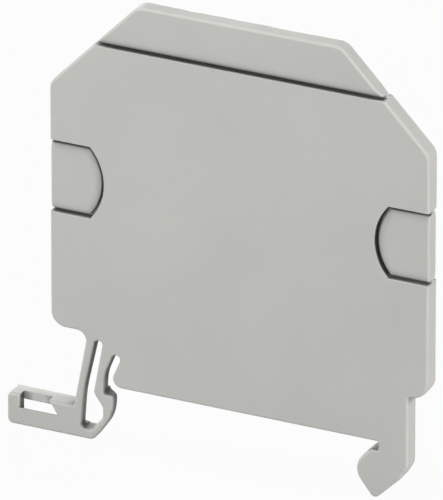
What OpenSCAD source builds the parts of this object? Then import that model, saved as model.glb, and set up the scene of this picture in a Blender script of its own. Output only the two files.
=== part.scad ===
// Partition plate that stands between terminal blocks on a 35 mm top-hat rail.
// It is one plastic moulding: a flat plate with a fixed hook foot on the right, a spring latch on the
// left, a top strip and two side tabs that snap off along score lines.
// X runs across the rail, Y through the plate (front face towards -Y) and Z up from the rail seat.

/* [Plate] */
// Width of the plate across its straight sides
plate_w = 48.35; // [47:0.05:60]
// Distance of the plate's middle from the rail's middle, towards the latch
plate_shift = 0.25; // [0:0.05:1]
// Height of the plate above the rail seat
plate_h = 49.65; // [47:0.05:65]
// Thickness of the plate
plate_t = 2.4; // [2.2:0.05:3]
// Width of each top chamfer
chamfer_w = 11.25; // [5:0.05:16]
// Height of each top chamfer
chamfer_h = 11.75; // [7:0.05:14]
// Rounding at the ends of the chamfers
chamfer_r = 2; // [0.5:0.1:4]
// Height of the two shoulders above the rail seat
shoulder_z = 6.5; // [6.3:0.05:10]
// Rounding of the left shoulder's outer corner
shoulder_r = 1.9; // [0.5:0.1:3]
// Rounding of the right shoulder's outer corner
right_shoulder_r = 2.3; // [0.5:0.1:4]

/* [Score lines] */
// Depth of the score lines in the front face
score_depth = 1; // [0.6:0.05:1.05]
// Depth of the score lines in the back face
score_back_depth = 0.6; // [0.5:0.05:0.7]
// Width of a score line at its mouth
score_w = 0.38; // [0.25:0.01:0.6]
// How much each side of a score line comes in towards its bottom
score_draft = 0.04; // [0:0.01:0.1]
// Depth at which the broken-out side meets the score line
score_dip = 0.38; // [0.35:0.01:0.45]
// Width of the slope that falls from the broken-out side to the score line
score_slope = 0.9; // [0.6:0.05:1.5]

/* [Top strip] */
// Height of the strip above its score line
strip_h = 5.87; // [4:0.01:7]
// How far the strip's front face lies below the plate's face
strip_sink = 0.06; // [0.05:0.01:0.3]
// How far the strip's back face lies below the plate's face
strip_back_sink = 0.3; // [0.05:0.01:0.3]

/* [Side tabs] */
// Radius of the tabs about the plate's side edges
tab_r = 6.9; // [6:0.05:9]
// Height of a tab between its straight score lines
tab_h = 9.2; // [6:0.1:11]
// Height of the tabs' middle above the rail seat
tab_z = 25.95; // [18:0.05:29]
// How far the front faces of the tabs lie below the plate's face
tab_sink = 0.2; // [0.05:0.05:0.3]
// How far the back faces of the tabs lie below the plate's face
tab_back_sink = 0.2; // [0.05:0.05:0.3]

/* [Rail] */
// Width of the top-hat rail
rail_w = 35; // [34:0.1:36]
// Play between the rail and the stops of the two feet
rail_play = 0.2; // [0:0.05:0.6]
// Thickness of the rail's lips
lip_t = 1; // [0.8:0.1:1.5]
// Play under the lips
lip_play = 0.1; // [0:0.05:0.4]

/* [Fixed foot] */
// Width of the foot from the rail stop to its outer side
foot_w = 3.82; // [3:0.02:5]
// Fillet where the foot leaves the right shoulder
foot_root_r = 0.3; // [0.1:0.05:1]
// Depth at which the outer side turns into the slanted end
foot_side = 2.7; // [1:0.05:4]
// Rounding of that turn
foot_side_r = 1.5; // [0.2:0.1:3]
// Width of the steep part of the slanted end
foot_bevel_w = 0.95; // [0.5:0.05:1.4]
// Height of the steep part of the slanted end
foot_bevel_h = 1.6; // [1:0.05:2.5]
// Depth of the foot's tip before its rounding
foot_depth = 7.65; // [6:0.05:8]
// Distance of the tip from the rail stop, towards the latch
tip_in = 0.5; // [0:0.05:1.2]
// Rounding of the tip
tip_r = 0.7; // [0.2:0.05:1]
// Reach of the hook's nose under the lip before its rounding
hook_reach = 3.4; // [2.4:0.05:4.2]
// Depth of the hook's nose
hook_z = 3.8; // [3:0.05:4.6]
// Rounding of the hook's nose
hook_r = 2.3; // [0.5:0.05:3]
// Length of the hook's flat under the lip
hook_flat = 0.95; // [0.5:0.05:1.6]
// Rounding where the flat turns into the nose
hook_flat_r = 1; // [0.2:0.1:2]
// Rounding in the corners of the lip slots
lip_r = 0.2; // [0.05:0.05:0.4]

/* [Latch] */
// Thickness of the spring arms and of the release tab's web, flush with the front face
latch_t = 1.15; // [0.9:0.05:1.8]
// Thickness of the latch round its pocket and at the nose's root
nose_t = 1.85; // [1.8:0.05:2.15]
// Length over which the latch thickens from there to the full thickness
nose_lead = 1.5; // [0.5:0.1:3]
// Depth of the latch below the rail seat
latch_depth = 7.45; // [7.1:0.05:8.5]
// Lean of the two spring arms
arm_lean = 10.5; // [6:0.5:14]
// Width of the inner spring arm
inner_arm_w = 1.17; // [0.8:0.01:1.5]
// Width of the outer spring arm
outer_arm_w = 0.92; // [0.6:0.02:1.2]
// Fillet where the outer arm leaves the shoulder
arm_root_r = 1.2; // [0.3:0.1:2]
// Rounding of the nose's two ends
nose_r = 0.35; // [0.1:0.05:0.5]
// Reach of the nose under the lip
nose_reach = 1.2; // [0.8:0.05:1.8]
// Fall of the nose's top towards its tip
nose_fall = 0.25; // [0:0.05:0.5]
// Depth at which the nose's face turns into its slanted side
nose_face = 3.6; // [2.8:0.05:4.6]
// Rounding of that turn
nose_face_r = 6; // [1:0.5:8]
// Width of the nose's slanted side
nose_slant_w = 2.65; // [2:0.05:3.2]
// Rounding of the latch's lower corner
latch_r = 0.8; // [0.2:0.1:1.2]

/* [Latch slots] */
// Width of the long slot between the arms
slot_w = 1.22; // [0.9:0.02:1.6]
// Width of the long slot at its top end
slot_top_w = 0.95; // [0.7:0.05:1.1]
// Height of the long slot's top end above the rail seat
slot_top = 5.6; // [4:0.05:6]
// Depth at which the long slot opens into its pocket
pocket_z = 1.25; // [0.5:0.05:1.6]
// Rounding at the mouth of the pocket
pocket_mouth_r = 1; // [0.2:0.1:1.2]
// Wall between the pocket and the nose's face
pocket_wall = 1.4; // [1.1:0.05:1.7]
// Height of the pocket's flare below its mouth
pocket_flare = 1.65; // [1.2:0.05:2]
// Rounding of the pocket's inner side
pocket_r = 1.2; // [0.2:0.1:1.5]
// Widening of the pocket's foot towards the release tab
pocket_widen = 0.35; // [0:0.05:0.5]
// Floor of the latch under the pocket
pocket_floor = 1.3; // [1:0.05:1.8]
// Width of the slanted part of the pocket's floor
pocket_slant_w = 1.45; // [0.8:0.05:1.7]
// Height of the slanted part of the pocket's floor
pocket_slant_h = 1.8; // [0.6:0.05:2]
// Rounding of the pocket's lower corners
pocket_floor_r = 0.5; // [0.1:0.05:0.6]
// Rounding of the bend in the slot's outer side
slot_bend_r = 18; // [4:1:30]
// Width of the short slot beside the inner arm
relief_w = 0.98; // [0.8:0.02:1.3]
// Height of the short slot's end above the rail seat
relief_top = 4.3; // [3:0.05:5]
// Lean of the short slot
relief_lean = 22.5; // [16:0.5:26]
// Height at which the short slot begins to lean
relief_bend_z = 1.4; // [0.8:0.05:1.8]
// How far the short slot's left edge has come in from the rail stop at that height
relief_in = 0.1; // [0:0.05:0.4]
// Rounding of that bend
relief_bend_r = 6; // [1:0.5:8]
// Rounding of the plate's corner at the short slot
relief_corner_r = 1.1; // [0.3:0.1:1.3]
// Thinned margin of the plate beside the short slot
latch_margin = 0.8; // [0.3:0.05:3]

/* [Release tab] */
// Length of the release tab beyond the outer arm
release_l = 8.6; // [7:0.05:12]
// Depth of the release tab's top edge
release_top = 3.45; // [2.8:0.05:3.6]
// Width of the cut corner
release_cut_w = 0.3; // [0.2:0.05:1.3]
// Height of the cut corner
release_cut_h = 0.4; // [0.2:0.05:1]
// Rounding of the lower corner
release_r = 0.7; // [0.2:0.1:1.5]
// Rounding of the cut corner and of the corner at the arm
release_edge_r = 0.3; // [0.1:0.05:0.6]
// Height of the full-thickness rim along the tab's top
top_rim = 1.05; // [0.7:0.05:1.4]
// Width of the full-thickness rim along the tab's end and its lower edge
low_rim = 0.9; // [0.5:0.05:1]
// Rounding in the corners of the recess behind the web and the arms
recess_r = 0.25; // [0.1:0.05:0.3]
// Wall between the screwdriver window and the tab's end
window_wall = 1.65; // [1.35:0.05:2.2]
// Length of the window along the tab's top
window_l = 3.7; // [2:0.05:4]
// How much longer the window is along its sill
window_slant = 1; // [0:0.05:1.2]
// Depth of the window's sill
window_sill = 5.05; // [4.6:0.05:5.3]
// Thickness of the bar that is left behind the window along the tab's top
window_bar = 1.2; // [0.8:0.05:1.2]
// Slope of the window's sill
window_sill_ramp = 37; // [20:1:45]

/* [Hidden] */
$fn = 128;

// Largest turn between two points of a rounded corner
arc_step = 6;
// How far a cut runs out past the face that it opens
over = 1;
// How far a recess keeps off the edges that it runs along
recess_gap = 0.25;
// Share of an edge that the roundings at its two ends may take up together
edge_share = 0.98;

left_x = -plate_w / 2 - plate_shift;
right_x = plate_w / 2 - plate_shift;
half_t = plate_t / 2;
stop_x = (rail_w + rail_play) / 2;
lip_z = -(lip_t + lip_play);
foot_x = stop_x + foot_w;

// The edges of the two arms at the rail seat, from the rail stop outwards
slot_inner_x = -stop_x - inner_arm_w;
slot_outer_x = slot_inner_x - slot_w;
arm_outer_x = slot_outer_x - outer_arm_w;
nose_x = -stop_x + nose_reach;
pocket_x = nose_x - pocket_wall;
pocket_left_x = leaning(slot_outer_x, -pocket_z) - pocket_widen;
pocket_floor_z = -latch_depth + pocket_floor;
release_x = leaning(arm_outer_x, -release_top) - release_l;
window_x = release_x + window_wall;

// The short slot: its left edge leans from the bend, and its right edge lies one width further
relief_left_x = -stop_x + relief_in - relief_bend_z * tan(relief_lean);
relief_right_x = relief_left_x + relief_w / cos(relief_lean);
relief_end_left = [relief_left_x + relief_top * tan(relief_lean), relief_top];
relief_end_right = relief_end_left + relief_w * [cos(relief_lean), -sin(relief_lean)];
recess_x = relief_end_right.x + latch_margin;

// Where an arm's edge that passes the rail seat at x lies at height z
function leaning(x, z) = x + z * tan(arm_lean);

function turned(p, angle) = [p.x * cos(angle) - p.y * sin(angle), p.x * sin(angle) + p.y * cos(angle)];

// Corner i of an outline as a point, counted round the outline
function point(corners, i) = let (c = corners[(i + len(corners)) % len(corners)]) [c.x, c.y];

// The way from corner i to corner k, one unit long
function way(corners, i, k) = let (d = point(corners, k) - point(corners, i)) d / norm(d);

// Half the angle between the two edges that meet at corner i
function half_angle(corners, i) = acos(way(corners, i, i - 1) * way(corners, i, i + 1)) / 2;

// How far the rounding of corner i would reach along its edges
function full_reach(corners, i) =
    corners[(i + len(corners)) % len(corners)].z / tan(half_angle(corners, i));

// How far the rounding of corner i may reach along its edge to corner k, which it shares with k's own
function reach_limit(corners, i, k) =
    let (own = full_reach(corners, i))
    edge_share * norm(point(corners, k) - point(corners, i)) * own / (own + full_reach(corners, k));

// The arc that rounds corner i of an outline
function corner_arc(corners, i) =
    let (
        to_last = way(corners, i, i - 1),
        to_next = way(corners, i, i + 1),
        half = half_angle(corners, i),
        reach = min(full_reach(corners, i), reach_limit(corners, i, i - 1), reach_limit(corners, i, i + 1)),
        start = point(corners, i) + to_last * reach,
        middle = to_last + to_next,
        centre = point(corners, i) + middle / norm(middle) * reach / cos(half),
        turn = (180 - 2 * half) * sign(cross(to_next, to_last)),
        steps = ceil(abs(turn) / arc_step)
    )
    [for (k = [0 : steps]) centre + turned(start - centre, turn * k / steps)];

// A closed outline from corners [x, z, rounding]
function rounded(corners) = [for (i = [0 : len(corners) - 1]) each corner_arc(corners, i)];

top_corners = [
    [right_x, plate_h - chamfer_h, chamfer_r],
    [right_x - chamfer_w, plate_h, chamfer_r],
    [left_x + chamfer_w, plate_h, chamfer_r],
    [left_x, plate_h - chamfer_h, chamfer_r],
    [left_x, shoulder_z, shoulder_r],
];

latch_corners = [
    [leaning(arm_outer_x, shoulder_z), shoulder_z, arm_root_r],
    [leaning(arm_outer_x, -release_top), -release_top, release_edge_r],
    [release_x + release_cut_w, -release_top, release_edge_r],
    [release_x, -release_top - release_cut_h, release_edge_r],
    [release_x, -latch_depth, release_r],
    [nose_x - nose_slant_w, -latch_depth, latch_r],
    [nose_x, -nose_face, nose_face_r],
    [nose_x, lip_z - nose_fall, nose_r],
    [-stop_x, lip_z, lip_r],
    [-stop_x + relief_in, relief_bend_z, relief_bend_r],
    [relief_end_left.x, relief_end_left.y, relief_w / 2],
    [relief_end_right.x, relief_end_right.y, relief_w / 2],
    [relief_right_x, 0, relief_corner_r],
];

hook_corners = [
    [stop_x, 0, lip_r],
    [stop_x, lip_z, lip_r],
    [stop_x - hook_flat, lip_z, hook_flat_r],
    [stop_x - hook_reach, -hook_z, hook_r],
    [stop_x - tip_in, -foot_depth, tip_r],
    [foot_x - foot_bevel_w, -foot_side - foot_bevel_h, foot_side_r],
    [foot_x, -foot_side, foot_side_r],
    [foot_x, shoulder_z, foot_root_r],
    [right_x, shoulder_z, right_shoulder_r],
];

long_slot_corners = [
    [leaning(slot_inner_x, slot_top), slot_top, slot_top_w / 2],
    [leaning(slot_inner_x, slot_top) - slot_top_w, slot_top, slot_top_w / 2],
    [leaning(slot_outer_x, -pocket_z), -pocket_z, slot_bend_r],
    [pocket_left_x, pocket_floor_z, pocket_floor_r],
    [pocket_x - pocket_slant_w, pocket_floor_z, pocket_floor_r],
    [pocket_x, pocket_floor_z + pocket_slant_h, pocket_r],
    [pocket_x, -pocket_z - pocket_flare, pocket_r],
    [leaning(slot_inner_x, -pocket_z), -pocket_z, pocket_mouth_r],
];

// The recess in the back that thins the two arms and the release tab's web
recess_corners = [
    [recess_x, shoulder_z, recess_r],
    [left_x - over, shoulder_z, recess_r],
    [left_x - over, -release_top + recess_gap, recess_r],
    [leaning(arm_outer_x, -release_top) - recess_gap, -release_top + recess_gap, recess_r],
    [leaning(arm_outer_x, -release_top - top_rim) - recess_gap, -release_top - top_rim, recess_r],
    [release_x + low_rim, -release_top - top_rim, recess_r],
    [release_x + low_rim, -latch_depth + low_rim, recess_r],
    [pocket_left_x - 2 * recess_r, -latch_depth + low_rim, recess_r],
    [pocket_left_x - 2 * recess_r, pocket_floor_z + recess_gap / 2, recess_r],
    [slot_outer_x + slot_w / 2, pocket_floor_z + recess_gap / 2, recess_r],
    [leaning(slot_inner_x, lip_z) - recess_gap, lip_z + recess_gap, recess_r],
    [recess_x, lip_z + recess_gap, recess_r],
];

// Extrudes an outline drawn in X and Z through the plate, from y0 back to y1
module through(y0, y1) {
    translate([0, y1, 0]) rotate([90, 0, 0]) linear_extrude(y1 - y0) children();
}

// Extrudes a section drawn in Y and Z across the plate, from x0 to x1
module across(x0, x1) {
    translate([x0, 0, 0]) rotate([90, 0, 90]) linear_extrude(x1 - x0) children();
}

module blank() {
    through(-half_t, half_t) difference() {
        polygon(rounded(concat(top_corners, latch_corners, hook_corners)));
        polygon(rounded(long_slot_corners));
    }
}

// The outer side of a score line, as pairs of depth below the face and run from the line's outer edge
function score_outside(depth) = [[-over, -score_draft * over / depth], [depth, score_draft]];

// Its inner side up to the sunk face of the strip or tab, from the line's bottom on
function score_inside(depth, sink) = [
    [depth, score_w - score_draft],
    [score_dip, score_w],
    [sink, score_w + score_slope],
];

// Takes the strip's sunk face and its score line out of one side: face is -1 for the front, 1 for the back
module strip_cut(face, depth, sink) {
    section = concat(
        score_outside(depth),
        score_inside(depth, sink),
        [[sink, strip_h + over], [-over, strip_h + over]]
    );
    across(left_x - over, right_x + over)
        polygon([for (p = section) [face * (half_t - p.x), plate_h - strip_h + p.y]]);
}

// A tab's outline, drawn in along a section of depths below one face of the plate and runs
module tab_form(face, section) {
    rim = [for (p = section) [face * (half_t - p.x), p.y]];
    last = len(rim) - 1;
    intersection() {
        rotate([90, 0, 0]) rotate_extrude() polygon(concat(
            [for (p = rim) [tab_r - p.y, -p.x]],
            [[0, -rim[last].x], [0, -rim[0].x]]
        ));
        across(-2 * tab_r, 2 * tab_r) polygon(concat(
            [for (p = rim) [p.x, tab_h / 2 - p.y]],
            [for (k = [last : -1 : 0]) [rim[k].x, -tab_h / 2 + rim[k].y]]
        ));
    }
}

// Takes one tab's sunk face and the score lines round it out of one side of the plate
module tab_cut(side, face, depth, sink) {
    inside = score_inside(depth, sink);
    root = [depth + over, inside[0].y];
    translate([side > 0 ? right_x : left_x, 0, tab_z]) difference() {
        tab_form(face, score_outside(depth));
        tab_form(face, concat([root], inside));
    }
}

// Takes the back of the spring arms and of the release tab's web down to their own thickness
module latch_cut() {
    through(-half_t + latch_t, half_t + over) polygon(rounded(recess_corners));
}

// Thins the back of the latch round the pocket, and slants it from there to the nose's tip
module nose_cut() {
    lead = (plate_t - nose_t) / nose_lead;
    slant = (nose_t - latch_t) / nose_reach;
    translate([0, 0, -latch_depth - over]) linear_extrude(latch_depth + over + lip_z + recess_gap) polygon([
        [pocket_left_x - nose_lead - over, half_t + lead * over],
        [pocket_left_x, -half_t + nose_t],
        [-stop_x, -half_t + nose_t],
        [nose_x + over, -half_t + latch_t - slant * over],
        [nose_x + over, half_t + lead * over],
    ]);
}

// The screwdriver window: open at the tab's top in front of the bar, and below the bar into the recess
module window_cut() {
    end_x = window_x + window_l;
    low_x = end_x + window_slant * (latch_depth - release_top) / (window_sill - release_top);
    front_y = -half_t - over;
    bar_y = half_t - window_bar;
    deep_y = max(bar_y, -half_t + latch_t) + recess_gap;
    deep_z = -release_top - top_rim - recess_gap / 2;
    fall = tan(window_sill_ramp);
    intersection() {
        through(front_y, deep_y) polygon([
            [window_x, -latch_depth],
            [low_x, -latch_depth],
            [end_x, -release_top],
            [end_x, 0],
            [window_x, 0],
        ]);
        across(window_x - over, low_x + over) polygon([
            [front_y, -window_sill + over * fall],
            [deep_y + over, -window_sill - (deep_y + over + half_t) * fall],
            [deep_y + over, deep_z],
            [bar_y, deep_z],
            [bar_y, 0],
            [front_y, 0],
        ]);
    }
}

module partition_plate() {
    color([0.73, 0.735, 0.715]) difference() {
        blank();
        strip_cut(-1, score_depth, strip_sink);
        strip_cut(1, score_back_depth, strip_back_sink);
        for (side = [-1, 1]) {
            tab_cut(side, -1, score_depth, tab_sink);
            tab_cut(side, 1, score_back_depth, tab_back_sink);
        }
        latch_cut();
        nose_cut();
        window_cut();
    }
}

partition_plate();
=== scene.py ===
# Partition plate for terminal blocks on a 35 mm rail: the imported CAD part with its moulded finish.
import math

import bmesh
import bpy
from mathutils import Matrix, Vector


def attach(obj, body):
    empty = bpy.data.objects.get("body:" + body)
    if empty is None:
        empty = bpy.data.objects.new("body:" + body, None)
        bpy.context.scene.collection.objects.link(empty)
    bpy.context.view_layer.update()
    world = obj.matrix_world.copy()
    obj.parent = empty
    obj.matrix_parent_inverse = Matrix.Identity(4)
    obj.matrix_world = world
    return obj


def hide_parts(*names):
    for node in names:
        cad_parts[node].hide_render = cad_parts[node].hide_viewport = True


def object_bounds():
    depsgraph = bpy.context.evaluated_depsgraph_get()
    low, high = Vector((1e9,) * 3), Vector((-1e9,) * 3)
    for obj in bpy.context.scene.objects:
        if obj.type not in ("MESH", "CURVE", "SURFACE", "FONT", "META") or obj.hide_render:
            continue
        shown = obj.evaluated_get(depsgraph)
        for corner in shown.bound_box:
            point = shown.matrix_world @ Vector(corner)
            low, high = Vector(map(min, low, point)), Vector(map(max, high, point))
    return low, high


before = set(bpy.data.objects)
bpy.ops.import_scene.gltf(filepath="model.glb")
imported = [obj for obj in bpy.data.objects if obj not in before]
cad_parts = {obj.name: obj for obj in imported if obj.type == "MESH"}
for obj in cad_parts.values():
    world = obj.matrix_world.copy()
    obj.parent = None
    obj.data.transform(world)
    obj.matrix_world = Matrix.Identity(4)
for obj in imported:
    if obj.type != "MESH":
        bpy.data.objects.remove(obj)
cad_box = [list(corner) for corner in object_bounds()]


# Moulded plate
# The whole part is one injection moulding, taken to be light grey polyamide: plate, hook foot, spring latch
# and the scored strip and tabs. The CAD solid's outer edges get the small radius that a mould leaves. The
# edges at the thin back of the latch stay sharp, because the radius would fold over itself there.
EDGE_RADIUS = 0.0003
FINE_SHARE = 0.35
UPRIGHT_WALL = 0.01
FLAT_FACE = 0.9
LATCH_RIGHT = -0.015
LATCH_TOP = 0.0066
SLOT_MIDDLE = 0.001
SHARP_ANGLE = math.radians(25)
MERGE_DISTANCE = 1e-6
CUT_DISTANCE = 1e-7
FLAT_ANGLE = math.radians(0.5)

plate_mesh = bmesh.new()
plate_mesh.from_mesh(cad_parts["partition_plate"].data)
bmesh.ops.remove_doubles(plate_mesh, verts=plate_mesh.verts, dist=MERGE_DISTANCE)
front = cad_box[0][1]
# A seam across the latch's arms keeps the front face from running right round the short slot.
cut = bmesh.ops.bisect_plane(
    plate_mesh, geom=[*plate_mesh.verts, *plate_mesh.edges, *plate_mesh.faces],
    dist=CUT_DISTANCE, plane_co=(0, 0, SLOT_MIDDLE), plane_no=(0, 0, 1),
)
for edge in cut["geom_cut"]:
    if isinstance(edge, bmesh.types.BMEdge):
        edge.seam = all(end.co.x < LATCH_RIGHT and end.co.y < front + MERGE_DISTANCE for end in edge.verts)
bmesh.ops.dissolve_limit(
    plate_mesh, angle_limit=FLAT_ANGLE, verts=plate_mesh.verts, edges=plate_mesh.edges, delimit={"SEAM"}
)
rounding = plate_mesh.edges.layers.float.new("bevel_weight_edge")
for edge in plate_mesh.edges:
    edge.smooth = edge.calc_face_angle(0) < SHARP_ANGLE
    if edge.is_convex and not edge.smooth:
        side, flat = sorted(abs(face.normal.y) for face in edge.link_faces)
        edge[rounding] = 1.0 if side < UPRIGHT_WALL and flat > FLAT_FACE else FINE_SHARE
        in_latch = all(end.co.x < LATCH_RIGHT and end.co.z < LATCH_TOP for end in edge.verts)
        if in_latch and min(end.co.y for end in edge.verts) > front + MERGE_DISTANCE:
            edge[rounding] = 0.0
for face in plate_mesh.faces:
    face.smooth = True

plate_data = bpy.data.meshes.new("moulded_plate")
plate_mesh.to_mesh(plate_data)
plate_mesh.free()
plate = bpy.data.objects.new("moulded_plate", plate_data)
bpy.context.scene.collection.objects.link(plate)
round_edges = plate.modifiers.new("rounded_edges", "BEVEL")
round_edges.limit_method = "WEIGHT"
round_edges.width = EDGE_RADIUS
round_edges.segments = 3
round_edges.profile = 0.5
round_edges.use_clamp_overlap = False
round_edges.miter_outer = "MITER_ARC"
flat_shading = plate.modifiers.new("flat_faces_stay_flat", "WEIGHTED_NORMAL")
flat_shading.keep_sharp = True
flat_shading.weight = 100

GREY_DARK = (0.493, 0.499, 0.470, 1)
GREY_LIGHT = (0.513, 0.519, 0.489, 1)
GLOSS_LEVEL = 0.15
FLOW_SCALE = 70
FLOW_SWIRL = 0.6
# The next four set the painted shade in score lines and narrow slots: its reach and its greys.
PAINTED_SHADE_REACH = 0.0013
PAINTED_SHADE_DEEPEST = (0.3, 0.36)
PAINTED_SHADE_OPEN = (0.98, 1)
PAINTED_SHADE_BETWEEN = ((0.55, 0.44), (0.8, 0.52), (0.9, 0.74))
SHEEN_SCALE = 350
ROUGHNESS_LOW = 0.5
ROUGHNESS_HIGH = 0.64
GRAIN_SCALE = 4000
GRAIN_STRENGTH = 0.12
GRAIN_HEIGHT = 0.00004

polyamide = bpy.data.materials.new("grey_polyamide")
polyamide.use_nodes = True
nodes, links = polyamide.node_tree.nodes, polyamide.node_tree.links
shader = nodes["Principled BSDF"]
shader.inputs["Specular IOR Level"].default_value = GLOSS_LEVEL
place = nodes.new("ShaderNodeTexCoord")

flow = nodes.new("ShaderNodeTexNoise")
flow.inputs["Scale"].default_value = FLOW_SCALE
flow.inputs["Detail"].default_value = 3
flow.inputs["Distortion"].default_value = FLOW_SWIRL
flow_tint = nodes.new("ShaderNodeValToRGB")
flow_tint.color_ramp.elements[0].position = 0.35
flow_tint.color_ramp.elements[0].color = GREY_DARK
flow_tint.color_ramp.elements[1].position = 0.65
flow_tint.color_ramp.elements[1].color = GREY_LIGHT
links.new(place.outputs["Object"], flow.inputs["Vector"])
links.new(flow.outputs["Fac"], flow_tint.inputs["Fac"])

# Painted shade: score lines and narrow slots get a darker base colour, by how closed in a spot is, in place
# of the shade that falls in them.
groove_closeness = nodes.new("ShaderNodeAmbientOcclusion")
groove_closeness.samples = 16
groove_closeness.only_local = True
groove_closeness.inputs["Distance"].default_value = PAINTED_SHADE_REACH
painted_groove_shade = nodes.new("ShaderNodeValToRGB")
shades = painted_groove_shade.color_ramp.elements
for shade, (position, grey) in zip(shades, (PAINTED_SHADE_DEEPEST, PAINTED_SHADE_OPEN)):
    shade.position = position
    shade.color = (grey, grey, grey, 1)
for position, grey in PAINTED_SHADE_BETWEEN:
    shades.new(position).color = (grey, grey, grey, 1)
painted_shade_mix = nodes.new("ShaderNodeMix")
painted_shade_mix.data_type = "RGBA"
painted_shade_mix.blend_type = "MULTIPLY"
painted_shade_mix.inputs["Factor"].default_value = 1.0
links.new(groove_closeness.outputs["AO"], painted_groove_shade.inputs["Fac"])
links.new(flow_tint.outputs["Color"], painted_shade_mix.inputs["A"])
links.new(painted_groove_shade.outputs["Color"], painted_shade_mix.inputs["B"])
links.new(painted_shade_mix.outputs["Result"], shader.inputs["Base Color"])

sheen = nodes.new("ShaderNodeTexNoise")
sheen.inputs["Scale"].default_value = SHEEN_SCALE
sheen.inputs["Detail"].default_value = 4
sheen_range = nodes.new("ShaderNodeMapRange")
sheen_range.inputs["From Min"].default_value = 0.3
sheen_range.inputs["From Max"].default_value = 0.7
sheen_range.inputs["To Min"].default_value = ROUGHNESS_LOW
sheen_range.inputs["To Max"].default_value = ROUGHNESS_HIGH
links.new(place.outputs["Object"], sheen.inputs["Vector"])
links.new(sheen.outputs["Fac"], sheen_range.inputs["Value"])
links.new(sheen_range.outputs["Result"], shader.inputs["Roughness"])

spark_grain = nodes.new("ShaderNodeTexNoise")
spark_grain.inputs["Scale"].default_value = GRAIN_SCALE
spark_grain.inputs["Detail"].default_value = 2
grain_height = nodes.new("ShaderNodeBump")
grain_height.inputs["Strength"].default_value = GRAIN_STRENGTH
grain_height.inputs["Distance"].default_value = GRAIN_HEIGHT
links.new(place.outputs["Object"], spark_grain.inputs["Vector"])
links.new(spark_grain.outputs["Fac"], grain_height.inputs["Height"])
links.new(grain_height.outputs["Normal"], shader.inputs["Normal"])
plate_data.materials.append(polyamide)

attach(plate, "root")
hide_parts("partition_plate")


# Floor
# A plain studio floor of matte paper, level with the part's lowest point. The camera sees it as white,
# with a small share of its own shading, which carries the object's faint shadow.
FLOOR_SIZE = 3.0
FLOOR_WHITE = 0.22
FLOOR_ROUGHNESS = 0.9
WHITE_SHARE = 0.96

floor_mesh = bmesh.new()
bmesh.ops.create_grid(floor_mesh, x_segments=1, y_segments=1, size=FLOOR_SIZE / 2)
bmesh.ops.translate(floor_mesh, verts=floor_mesh.verts, vec=(0, 0, cad_box[0][2]))
floor_data = bpy.data.meshes.new("floor")
floor_mesh.to_mesh(floor_data)
floor_mesh.free()
floor = bpy.data.objects.new("floor", floor_data)
bpy.context.scene.collection.objects.link(floor)

paper = bpy.data.materials.new("white_paper")
paper.use_nodes = True
nodes, links = paper.node_tree.nodes, paper.node_tree.links
nodes["Principled BSDF"].inputs["Base Color"].default_value = (FLOOR_WHITE, FLOOR_WHITE, FLOOR_WHITE, 1)
nodes["Principled BSDF"].inputs["Roughness"].default_value = FLOOR_ROUGHNESS
glow = nodes.new("ShaderNodeEmission")
glow.inputs["Strength"].default_value = 1.0


def seen_white(nodes, links):
    """A value of 1 for rays that show the background, straight, mirrored or through glass."""
    ray = nodes.new("ShaderNodeLightPath")
    mirrored = nodes.new("ShaderNodeMath")
    mirrored.operation = "MAXIMUM"
    links.new(ray.outputs["Is Camera Ray"], mirrored.inputs[0])
    links.new(ray.outputs["Is Glossy Ray"], mirrored.inputs[1])
    through = nodes.new("ShaderNodeMath")
    through.operation = "MAXIMUM"
    links.new(mirrored.outputs[0], through.inputs[0])
    links.new(ray.outputs["Is Transmission Ray"], through.inputs[1])
    return through.outputs[0]


share = nodes.new("ShaderNodeMath")
share.operation = "MULTIPLY"
share.inputs[1].default_value = WHITE_SHARE
blend = nodes.new("ShaderNodeMixShader")
links.new(seen_white(nodes, links), share.inputs[0])
links.new(share.outputs[0], blend.inputs["Fac"])
links.new(nodes["Principled BSDF"].outputs[0], blend.inputs[1])
links.new(glow.outputs[0], blend.inputs[2])
links.new(blend.outputs[0], nodes["Material Output"].inputs["Surface"])
floor_data.materials.append(paper)


# Studio light
# A soft lamp in front, a key high on the left that rakes along the plate, and strips above and to the right.
# A square lamp low behind lights the back, and the room is dim and even.
ROOM_LIGHT = 0.02

room = bpy.data.worlds.new("room")
bpy.context.scene.world = room
room.use_nodes = True
nodes, links = room.node_tree.nodes, room.node_tree.links
nodes["Background"].inputs["Color"].default_value = (1, 1, 1, 1)
nodes["Background"].inputs["Strength"].default_value = ROOM_LIGHT
white = nodes.new("ShaderNodeBackground")
white.inputs["Strength"].default_value = 1.0
blend = nodes.new("ShaderNodeMixShader")
links.new(seen_white(nodes, links), blend.inputs["Fac"])
links.new(nodes["Background"].outputs[0], blend.inputs[1])
links.new(white.outputs[0], blend.inputs[2])
links.new(blend.outputs[0], nodes["World Output"].inputs["Surface"])

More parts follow.
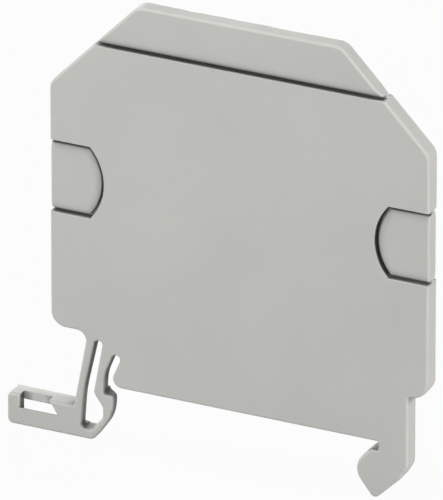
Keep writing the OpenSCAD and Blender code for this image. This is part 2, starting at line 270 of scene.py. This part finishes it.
plate_middle = Vector((0, 0, (cad_box[0][2] + cad_box[1][2]) / 2))


def soft_light(name, azimuth, elevation, distance, width, height, watts):
    """An oblong lamp that looks at the plate's middle. Azimuth 0 lies in front, 90 to the right."""
    a, e = math.radians(azimuth), math.radians(elevation)
    away = Vector((math.sin(a) * math.cos(e), -math.cos(a) * math.cos(e), math.sin(e)))
    lamp = bpy.data.lights.new(name, "AREA")
    lamp.shape = "RECTANGLE"
    lamp.size = width
    lamp.size_y = height
    lamp.energy = watts
    stand = bpy.data.objects.new(name, lamp)
    stand.matrix_world = Matrix.LocRotScale(
        plate_middle + away * distance, away.to_track_quat("Z", "Y"), None
    )
    bpy.context.scene.collection.objects.link(stand)


soft_light("front", -5, 12, 0.28, 0.08, 0.08, 0.59)
soft_light("left_key", -82, 52, 0.8, 0.08, 0.24, 3.5)
soft_light("top", 180, 88, 0.5, 0.15, 0.03, 0.8)
soft_light("right", 90, 8, 0.5, 0.03, 0.15, 2.05)
soft_light("back", 205, 3, 0.5, 0.15, 0.15, 2.0)


# Camera
# A long lens that looks down on the plate from the front right. Its angles, distance and aim were fitted to
# the plate's outline.
AZIMUTH = math.radians(24.82)
ELEVATION = math.radians(25.82)
DISTANCE = 1.7538
PHOTO_HEIGHT = 500
PIXELS_PER_METRE = 8566.3
AIM_RIGHT = -0.0026807
AIM_UP = 0.0186248

back = Vector((
    math.sin(AZIMUTH) * math.cos(ELEVATION),
    -math.cos(AZIMUTH) * math.cos(ELEVATION),
    math.sin(ELEVATION),
))
turn = back.to_track_quat("Z", "Y")
lens = bpy.data.cameras.new("camera")
lens.sensor_width = 36
lens.lens = lens.sensor_width * DISTANCE * PIXELS_PER_METRE / PHOTO_HEIGHT
lens.clip_start = 0.1
lens.clip_end = 10
camera = bpy.data.objects.new("camera", lens)
camera.matrix_world = Matrix.LocRotScale(
    turn @ Vector((AIM_RIGHT, AIM_UP, DISTANCE)), turn, None
)
bpy.context.scene.collection.objects.link(camera)
bpy.context.scene.camera = camera
bpy.context.scene.view_settings.view_transform = "Standard"
